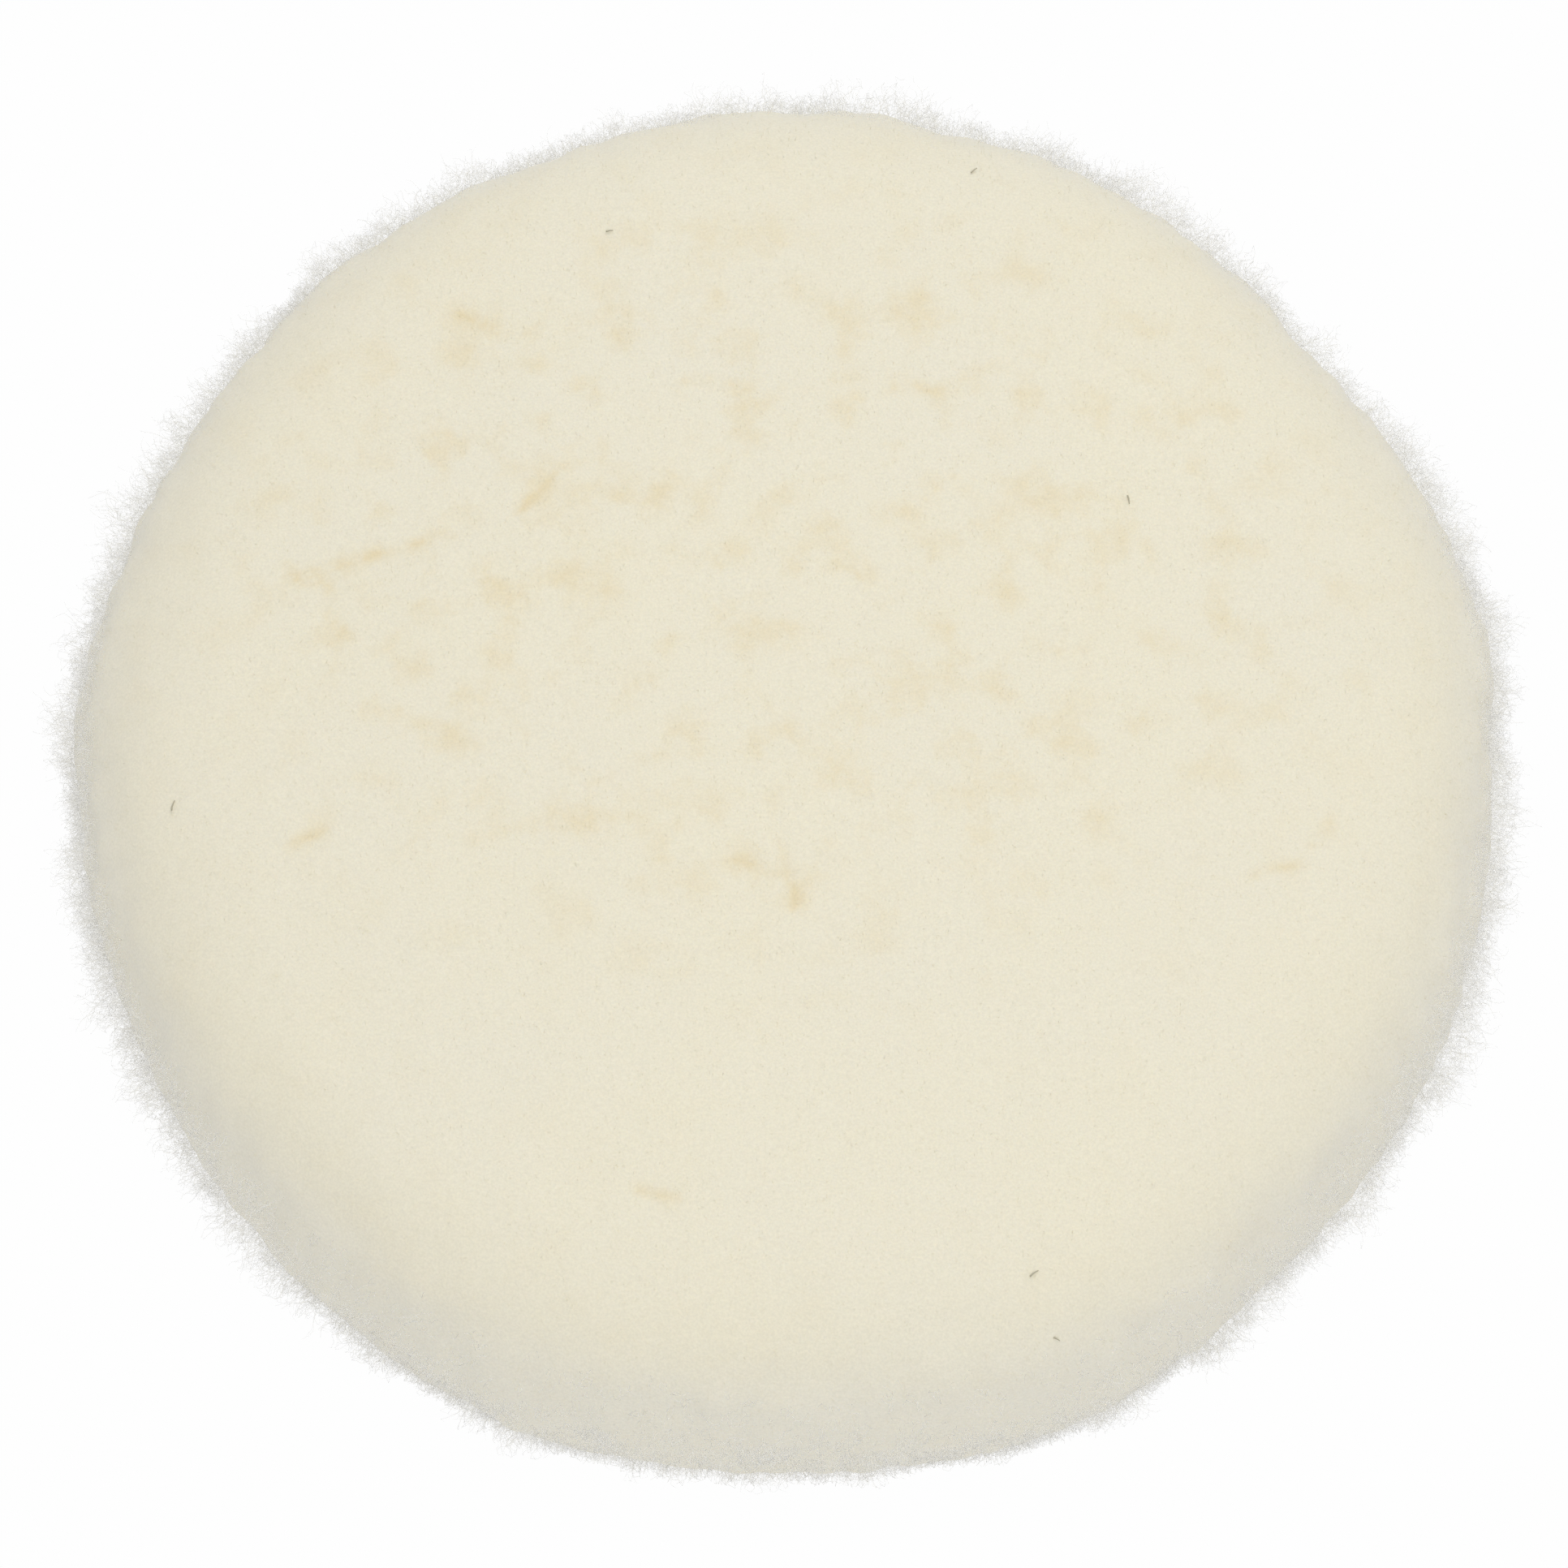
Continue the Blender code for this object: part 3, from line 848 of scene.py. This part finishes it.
class PAD_OT_rim(Operator):
    """Grows the rim's loose wool: curly fibres tangled over each lock, longer where the lock is larger"""

    bl_idname = "pad.rim"
    bl_label = "Rim fibres"

    def execute(self, context):
        fleece = context.scene.pad_fleece
        mesh = bpy.data.objects["fleece"].data
        random = np.random.default_rng(RIM_SEED)
        finish = wool_fibre("Curly rim wool", fleece.root, fleece.tip, fleece.root, RIM_SOLID)

        def flank(centres, normals):
            reach = np.hypot(centres[:, 0], centres[:, 1])
            thinned = 1 - 0.88 * ease(-centres[:, 1] / reach, 0.3, 0.85) * ease(normals[:, 2], -0.1, 0.3)
            return ease(1 - normals[:, 2], 0.12, 0.6) * thinned * (reach > RECESS + 0.8 * MM)

        middles, ways, sizes = flank_locks(fleece)
        middles = uncut(middles)
        points, normals = scatter(mesh, flank, fleece.rim_fibres, random)
        owner, away = nearest(points, middles)
        # The loose wool is short at the foot, on the shoulder and along the front, where the pad has worn.
        height = 0.35 + 0.65 * ease(points[:, 2], WOOL_LOW.z + 1 * MM, WOOL_LOW.z + 9 * MM)
        level = 0.2 + 0.8 * ease(1 - normals[:, 2], 0.25, 0.7)
        worn = 1 - 0.55 * ease(-points[:, 1] / np.hypot(points[:, 0], points[:, 1]), 0.75, 0.99)
        # It domes over each lock, and stands longer in some places 8 mm or so wide than in others.
        dome = np.sqrt(np.maximum(0.2, 1 - (away / (0.65 * fleece.lock_width)) ** 2))
        cloud = np.array([1 + 0.8 * noise.noise(Vector((x, y, 0)) / (8 * MM)) for x, y, _ in points])
        reach = (1.25 * fleece.fringe * sizes[owner] * height * level * worn * dome * cloud)[:, None]
        gather = (middles[owner] - points) / fleece.lock_width
        stands = unit(normals + 0.5 * gather + 0.5 * ways[owner] + random.normal(size=points.shape) * 0.2)
        roots = points - normals * 0.5 * MM + stands * reach * random.uniform(0.0, 0.45, (len(points), 1))
        length_share = random.uniform(0.35, 0.75, (len(points), 1))
        stride = 0.85 * MM * random.uniform(0.75, 1.2, (len(points), 1))
        paths = tangled(roots, stands, reach * length_share + 0.4 * MM, 3.2 * MM, fleece.curl, stride, random)
        starts, spread = paths[:, 0], (0.7, 1.25)
        for piece in plant("rim_fibres", starts, paths, fleece.fibre, spread, 0.4, finish, 8, random):
            # Wool passes light on from fibre to fibre, so its loose fibres don't darken each other.
            piece.visible_shadow = False
            piece.visible_diffuse = False
        return {"FINISHED"}


class PAD_OT_face(Operator):
    """Grows the sheared fibre ends of the working face, and lays the stray kemp hairs on it"""

    bl_idname = "pad.face"
    bl_label = "Face fibres"

    def execute(self, context):
        fleece = context.scene.pad_fleece
        mesh = bpy.data.objects["fleece"].data
        random = np.random.default_rng(FACE_SEED)

        def level(centres, normals):
            return ease(normals[:, 2], 0.2, 0.6) * (centres[:, 2] > SKIN_HIGH.z + 5 * MM)

        points, normals = scatter(mesh, level, fleece.face_fibres, random)
        lean = unit(normals + random.normal(size=points.shape) * 0.45)
        rise = fleece.nap * random.uniform(0.5, 1.1, (len(points), 1))
        paths = crimped(points - normals * 0.4 * MM, points + lean * rise, 0.12 * MM, 2, random)
        finish = wool_fibre("Sheared wool ends", fleece.cream, fleece.cream, fleece.butter, 1.0)
        plant("face_fibres", points, paths, 0.7 * fleece.fibre, (0.8, 1.3), 0.5, finish, 4, random)
        self.lay_hairs(mesh)
        return {"FINISHED"}

    def lay_hairs(self, mesh):
        """Each hair is a short bent strand that lies on the fibre ends."""
        points = mesh_values(mesh)
        random = np.random.default_rng(HAIR_SEED)
        t = np.linspace(-0.5, 0.5, 6)[:, None]
        paths = []
        for x, y, heading, run in KEMP_HAIRS:
            near = np.argmin(np.hypot(points[:, 0] - x * MM, points[:, 1] - y * MM) - points[:, 2])
            middle = points[near] + [0, 0, 0.35 * MM]
            way = np.array([math.cos(math.radians(heading)), math.sin(math.radians(heading)), 0.0])
            bend = np.array([-way[1], way[0], 0.2]) * 0.25 * run * MM
            paths.append(middle + way * run * MM * t + bend * (0.25 - t**2))
        width = np.full(len(paths), 0.24 * MM)
        tones = random.random(len(paths))
        hairs = strand_piece("kemp_hairs", np.array(paths), width, 0.5, tones, kemp_hair())
        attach(hairs, "root")


class PAD_OT_loop_cloth(Operator):
    """Lays the knitted cloth of the loop fastener: a flat round sheet with raised ribs"""

    bl_idname = "pad.loop_cloth"
    bl_label = "Loop cloth"

    def execute(self, context):
        back = context.scene.pad_back
        disc, squares, _ = unit_disc(96)
        radius = CLOTH_HIGH.x
        rib = 0.06 * MM * np.sin(disc[:, 0] * radius * math.tau / back.wale)
        points = np.column_stack([disc * radius, np.full(len(disc), CLOTH_LOW.z + 0.08 * MM) + rib])
        sheet = mesh_piece("loop_cloth", points, squares[:, ::-1].tolist(), knitted_nylon(back))
        thicken(sheet)
        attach(sheet, "root")
        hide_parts("loop_ground_cloth")
        return {"FINISHED"}


class PAD_OT_loops(Operator):
    """Plants the loops that a hook plate grips, each a small arch of thread with its own turn and lean"""

    bl_idname = "pad.loops"
    bl_label = "Loops"

    def execute(self, context):
        back = context.scene.pad_back
        random = np.random.default_rng(LOOP_SEED)
        pitch, row = back.loop_pitch, back.loop_pitch * math.sqrt(3) / 2
        rows = int(NAP_HIGH.x / row)
        spots = [
            (pitch * (i + (j % 2) / 2), row * j)
            for j in range(-rows, rows + 1)
            for i in range(-rows - 8, rows + 9)
        ]
        spots = np.array(spots) + random.normal(size=(len(spots), 2)) * 0.16 * pitch
        spots = spots[np.hypot(*spots.T) < NAP_HIGH.x - 0.9 * MM]
        count = len(spots)
        turn = random.uniform(0, math.tau, count)
        along = np.stack([np.cos(turn), np.sin(turn), np.zeros(count)], axis=1)
        lean = np.column_stack([random.normal(size=(count, 2)) * 0.25, -np.ones(count)])
        height = (CLOTH_LOW.z - NAP_LOW.z - back.loop_thread * 0.6) * random.uniform(0.75, 0.97, (count, 1))
        across = random.uniform(0.5, 0.75, (count, 1)) * MM
        arch = np.linspace(-0.18, 1.18, 7) * math.pi
        foot = np.column_stack([spots, np.full(count, CLOTH_LOW.z + 0.1 * MM)])
        paths = (
            foot[:, None, :]
            + (across * np.cos(arch)[None])[:, :, None] * along[:, None, :]
            + (height * (0.5 + 0.5 * np.sin(arch)[None]))[:, :, None] * lean[:, None, :]
        )
        paths[:, :, 2] = np.maximum(paths[:, :, 2], NAP_LOW.z + 0.6 * back.loop_thread)
        finish = looped_nylon(back)
        half = spots[:, 1] > 0
        for i, mine in enumerate((half, ~half)):
            tones = random.random(int(mine.sum()))
            width = np.full(len(tones), back.loop_thread)
            piece = strand_piece(f"nap_loops_{i + 1}", paths[mine], width, 0.0, tones, finish)
            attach(piece, "root")
            if i == 0:
                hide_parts("loop_nap")
        return {"FINISHED"}


def pucker_tape(piece, back, stitches):
    """Pulls the tape in at each stitch."""
    mesh = piece.data
    points = mesh_values(mesh)
    reach = np.hypot(points[:, 0], points[:, 1])
    angle = np.arctan2(points[:, 1], points[:, 0])
    seam = NEEDLE_HIGH.x - back.thread / 2
    near = np.exp(-(((reach - seam) / (1.1 * MM)) ** 2))
    inward = np.sign(TAPE_MIDDLE - points[:, 2])
    points[:, 2] += inward * back.pucker * near * (0.5 + 0.5 * np.cos(stitches * angle))
    put_points(mesh, points)


def map_weave(piece):
    """A map in millimetres: round the rim, and across the tape from edge to edge."""
    mesh = piece.data
    corner = np.empty(len(mesh.loops), np.int32)
    mesh.loops.foreach_get("vertex_index", corner)
    owner = np.repeat(np.arange(len(mesh.polygons)), [p.loop_total for p in mesh.polygons])
    at = mesh_values(mesh)[corner]
    angle = np.arctan2(at[:, 1], at[:, 0])
    # A face that crosses the place where the angle starts again keeps all its corners on one side of it.
    first = np.full(len(mesh.polygons), -10.0)
    np.maximum.at(first, owner, angle)
    angle = np.where(first[owner] - angle > math.pi, angle + math.tau, angle)
    reach = np.hypot(at[:, 0], at[:, 1])
    across = np.sign(at[:, 2] - TAPE_MIDDLE) * (TAPE_HIGH.x - reach) + at[:, 2] - TAPE_MIDDLE
    chart = (np.column_stack([angle * TAPE_HIGH.x, across]) / MM).astype(np.float32)
    mesh.uv_layers.new(name="weave").uv.foreach_set("vector", chart.ravel())


def start_round(name, **sizes):
    """An open or closed cylinder, at its size and place, as the one object in edit mode."""
    bpy.ops.object.select_all(action="DESELECT")
    bpy.ops.mesh.primitive_cylinder_add(**sizes)
    piece = bpy.context.object
    piece.name = piece.data.name = name
    only(piece)
    bpy.ops.object.transform_apply(location=True, rotation=True, scale=True)
    bpy.ops.object.mode_set(mode="EDIT")
    return piece


def pick(piece, choose):
    """In edit mode, selects only the edges or faces that are chosen from the mesh."""
    bpy.ops.mesh.select_all(action="DESELECT")
    bpy.ops.object.mode_set(mode="OBJECT")
    for each in choose(piece.data):
        each.select = True
    bpy.ops.object.mode_set(mode="EDIT")


def thicken(piece):
    """Gives a sheet its thickness, inwards."""
    wall = piece.modifiers.new("thickness", "SOLIDIFY")
    wall.thickness = WALL
    wall.offset = -1.0
    apply_modifiers(piece)


class PAD_OT_tape(Operator):
    """Folds the binding tape over the rim, from a ring whose two edges are drawn in"""

    bl_idname = "pad.tape"
    bl_label = "Binding tape"

    def execute(self, context):
        back = context.scene.pad_back
        stitches = round(math.tau * NEEDLE_HIGH.x / back.stitch)
        outer, low, high = TAPE_HIGH.x, TAPE_LOW.z, TAPE_HIGH.z
        piece = start_round(
            "bound_tape",
            vertices=4 * stitches,
            radius=outer,
            depth=high - low,
            end_fill_type="NOTHING",
            location=(0, 0, (low + high) / 2),
        )
        bpy.ops.mesh.select_mode(type="EDGE")
        for level in (low, high):
            self.select_edges(piece, lambda a, b: max(abs(a.z - level), abs(b.z - level)) < TOUCH)
            for share in (1 / 3, 2 / 3, 1):
                radius = outer - share * TAPE_FOLD
                piece.update_from_editmode()
                now = min(v.co.xy.length for v in piece.data.vertices if v.select)
                bpy.ops.mesh.extrude_region_move()
                size = radius / now
                bpy.ops.transform.resize(value=(size, size, 1), center_override=(0, 0, level))
        folded = outer - 0.05 * MM
        self.select_edges(
            piece, lambda a, b: abs(a.z - b.z) < TOUCH and min(a.xy.length, b.xy.length) > folded
        )
        bpy.ops.mesh.bevel(offset=0.8 * MM, segments=3, affect="EDGES")
        bpy.ops.mesh.select_all(action="SELECT")
        bpy.ops.mesh.normals_make_consistent(inside=False)
        bpy.ops.object.mode_set(mode="OBJECT")
        piece.data.materials.append(cotton_twill(back))
        thicken(piece)
        pucker_tape(piece, back, stitches)
        map_weave(piece)
        bpy.ops.object.shade_smooth_by_angle(angle=math.radians(50))
        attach(piece, "root")
        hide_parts("binding_tape")
        return {"FINISHED"}

    def select_edges(self, piece, test):
        """Selects the edges whose two ends pass a test."""

        def passing(mesh):
            return [edge for edge in mesh.edges if test(*(mesh.vertices[i].co for i in edge.vertices))]

        pick(piece, passing)


class PAD_OT_stitches(Operator):
    """Sews the lockstitch seam: one stitch is shaped from a rod, and repeated round the rim"""

    bl_idname = "pad.stitches"
    bl_label = "Stitches"

    def execute(self, context):
        back = context.scene.pad_back
        finish = bonded_thread(back)
        self.sew(back, "needle_stitches", "needle_thread", TAPE_HIGH.z, 1, finish)
        self.sew(back, "bobbin_stitches", "bobbin_thread", TAPE_LOW.z, -1, finish)
        return {"FINISHED"}

    def sew(self, back, name, node, level, outward, finish):
        """One ring of stitches on the tape's face at a height. outward is 1 above and -1 below."""
        reach = NEEDLE_HIGH.x - back.thread / 2
        stitches = round(math.tau * NEEDLE_HIGH.x / back.stitch)
        run = math.tau * reach / stitches
        piece = start_round(
            name,
            vertices=8,
            radius=back.thread / 2,
            depth=0.5 * run,
            location=(reach, 0, level + outward * 0.12 * MM),
            rotation=(math.radians(90), 0, 0),
        )
        bpy.ops.mesh.select_mode(type="FACE")
        for end in (-1, 1):
            pick(piece, lambda mesh: [max(mesh.polygons, key=lambda face: end * face.center.y)])
            # Each step sinks the end in millimetres, runs it on by a share of the stitch and thins it.
            for drop, step, share in ((0.06, 0.14, 0.95), (0.16, 0.1, 0.85), (0.3, 0.04, 0.8)):
                move = (0, end * step * run, -outward * drop * MM)
                bpy.ops.mesh.extrude_region_move(TRANSFORM_OT_translate={"value": move})
                bpy.ops.transform.resize(value=(share, 1, share))
        bpy.ops.mesh.select_all(action="SELECT")
        bpy.ops.mesh.spin(
            steps=stitches,
            dupli=True,
            angle=math.tau,
            center=(0, 0, 0),
            axis=(0, 0, 1),
            use_normal_flip=False,
        )
        bpy.ops.mesh.select_all(action="SELECT")
        bpy.ops.mesh.remove_doubles(threshold=0.001 * MM)
        bpy.ops.mesh.normals_make_consistent(inside=False)
        bpy.ops.object.mode_set(mode="OBJECT")
        piece.data.materials.append(finish)
        bpy.ops.object.shade_smooth()
        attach(piece, "root")
        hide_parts(node)


class PAD_OT_layers(Operator):
    """Gives the inner layers, which keep their own shapes, their materials"""

    bl_idname = "pad.layers"
    bl_label = "Inner layers"

    def execute(self, context):
        back = context.scene.pad_back
        film = hot_melt_film(back)
        finishes = {
            "sheepskin": tanned_suede(back),
            "cushion_foam": open_cell_foam(back),
            "skin_bond_film": film,
            "loop_bond_film": film,
        }
        for node, finish in finishes.items():
            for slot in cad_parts[node].material_slots:
                slot.material = finish
        return {"FINISHED"}


class PAD_OT_stage(Operator):
    """Sets the white table, the soft lights and the camera"""

    bl_idname = "pad.stage"
    bl_label = "Stage"

    def execute(self, context):
        stage = context.scene.pad_stage
        self.lay_table()
        self.light(context, stage)
        self.aim_camera(context, stage)
        context.scene.view_settings.view_transform = "Standard"
        return {"FINISHED"}

    def lay_table(self):
        """A glowing white table, seen from above only: it takes no shadow and doesn't light the pad."""
        bpy.ops.mesh.primitive_plane_add(size=60.0, location=(0, 0, FLOOR - 0.2 * MM))
        table = bpy.context.object
        table.name = table.data.name = "table"
        made = bpy.data.materials.new("White light table")
        made.use_nodes = True
        tree = made.node_tree
        tree.nodes.clear()
        glow = add_node(tree, "ShaderNodeEmission", {"Color": hex_colour("#fefefe")}).outputs[0]
        clear = add_node(tree, "ShaderNodeBsdfTransparent").outputs[0]
        below = add_node(tree, "ShaderNodeNewGeometry").outputs["Backfacing"]
        either = add_node(tree, "ShaderNodeMixShader", {0: below, 1: glow, 2: clear}).outputs[0]
        add_node(tree, "ShaderNodeOutputMaterial", {"Surface": either})
        table.data.materials.append(made)
        table.visible_diffuse = False
        table.visible_glossy = False
        table.visible_shadow = False

    def light(self, context, stage):
        """Even light from the room and the table, and one long soft light above, from front to back."""
        world = bpy.data.worlds.new("room")
        world.use_nodes = True
        tree = world.node_tree
        tree.nodes.clear()
        ray = add_node(tree, "ShaderNodeTexCoord").outputs["Generated"]
        up = add_node(tree, "ShaderNodeSeparateXYZ", {0: ray}).outputs["Z"]
        level = add_node(
            tree,
            "ShaderNodeMapRange",
            {"Value": up, "From Min": -0.3, "From Max": 0.5, "To Min": stage.ground, "To Max": stage.sky},
            interpolation_type="SMOOTHSTEP",
        ).outputs["Result"]
        shine = add_node(tree, "ShaderNodeBackground", {"Strength": level}).outputs[0]
        wall = add_node(tree, "ShaderNodeBackground", {"Color": hex_colour("#fefefe")}).outputs[0]
        seen = add_node(tree, "ShaderNodeLightPath").outputs["Is Camera Ray"]
        either = add_node(tree, "ShaderNodeMixShader", {0: seen, 1: shine, 2: wall}).outputs[0]
        add_node(tree, "ShaderNodeOutputWorld", {"Surface": either})
        context.scene.world = world
        bpy.ops.object.light_add(type="AREA", location=(0.05, 0.03, 0.5))
        lamp = context.object
        lamp.name = lamp.data.name = "key_light"
        lamp.data.shape = "RECTANGLE"
        lamp.data.size = 0.15
        lamp.data.size_y = 1.2
        lamp.visible_camera = False
        lamp.data.energy = stage.key
        lamp.rotation_euler = (0, math.atan2(lamp.location.x, lamp.location.z), 0)

    def aim_camera(self, context, stage):
        """The camera looks down on the pad from the front, far enough to hold its width in the picture."""
        width = 2 * WOOL_HIGH.x * stage.margin
        made = bpy.data.cameras.new("camera")
        made.lens = stage.focal
        away = width * stage.focal / made.sensor_width
        made.clip_start = 0.01
        camera = bpy.data.objects.new("camera", made)
        context.collection.objects.link(camera)
        look = Vector((0, -math.cos(stage.elevation), math.sin(stage.elevation)))
        middle = (WOOL_LOW + WOOL_HIGH) / 2
        target = Vector((-0.4 * MM, -4.0 * MM, middle.z))
        camera.location = target + look * away
        camera.rotation_euler = look.to_track_quat("Z", "Y").to_euler()
        context.scene.camera = camera


class PAD_PT_pad(Panel):
    """Buttons that build the pad, piece by piece"""

    bl_label = "Polishing pad"
    bl_space_type = "VIEW_3D"
    bl_region_type = "UI"
    bl_category = "Pad"

    def draw(self, context):
        column = self.layout.column()
        for settings, operators in (
            (context.scene.pad_fleece, FLEECE_OPERATORS),
            (context.scene.pad_back, BACK_OPERATORS),
            (context.scene.pad_stage, (PAD_OT_stage,)),
        ):
            for name in settings.__annotations__:
                column.prop(settings, name)
            for operator in operators:
                column.operator(operator.bl_idname)


FLEECE_OPERATORS = (PAD_OT_fleece, PAD_OT_rim, PAD_OT_face)
BACK_OPERATORS = (PAD_OT_loop_cloth, PAD_OT_loops, PAD_OT_tape, PAD_OT_stitches, PAD_OT_layers)
SETTINGS = {"pad_fleece": FleeceSettings, "pad_back": BackSettings, "pad_stage": StageSettings}
CLASSES = (*SETTINGS.values(), *FLEECE_OPERATORS, *BACK_OPERATORS, PAD_OT_stage, PAD_PT_pad)


def register():
    for each in CLASSES:
        bpy.utils.register_class(each)
    for name, group in SETTINGS.items():
        setattr(bpy.types.Scene, name, PointerProperty(type=group))


def unregister():
    for name in SETTINGS:
        delattr(bpy.types.Scene, name)
    for each in reversed(CLASSES):
        bpy.utils.unregister_class(each)


def main():
    register()
    bpy.ops.pad.fleece()
    bpy.ops.pad.rim()
    bpy.ops.pad.face()
    bpy.ops.pad.loop_cloth()
    bpy.ops.pad.loops()
    bpy.ops.pad.tape()
    bpy.ops.pad.stitches()
    bpy.ops.pad.layers()
    bpy.ops.pad.stage()


if __name__ == "__main__":
    main()
